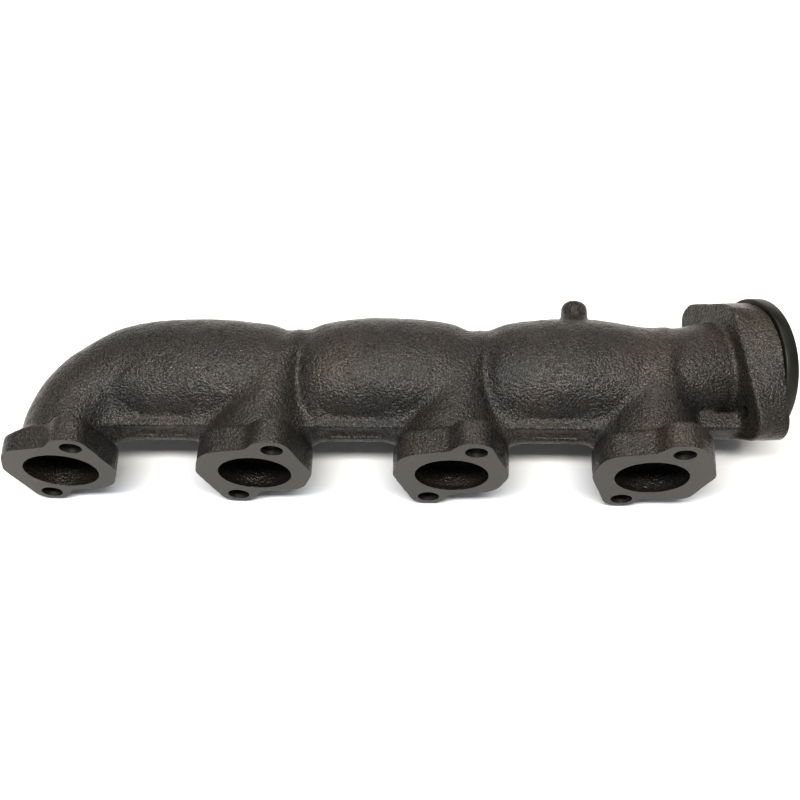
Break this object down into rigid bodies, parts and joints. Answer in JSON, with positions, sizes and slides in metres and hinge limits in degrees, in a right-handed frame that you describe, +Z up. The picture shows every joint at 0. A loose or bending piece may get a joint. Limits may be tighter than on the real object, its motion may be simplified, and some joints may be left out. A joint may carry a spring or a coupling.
{
  "type": "exhaust manifold",
  "caption": "Cast-iron log exhaust manifold: bolted port flanges along one side, a humped gas log, tie webs, and an angled two-bolt outlet flange with a turned ring.",
  "frame": {"origin": "bottom centre of the bounding box, on the surface the part lies on", "axes": "+X along the gas log towards the outlet, -Y out of the port faces, +Z up"},
  "size_m": [0.4336, 0.1158, 0.0825],
  "materials": {
    "cast_iron": "rough sand-cast skin, with milled faces at the ports",
    "turned_ring": "smooth turned"
  },
  "bodies": {
    "root": {"manifold_casting": "cast_iron", "outlet_ring": "turned_ring"}
  },
  "joints": []
}
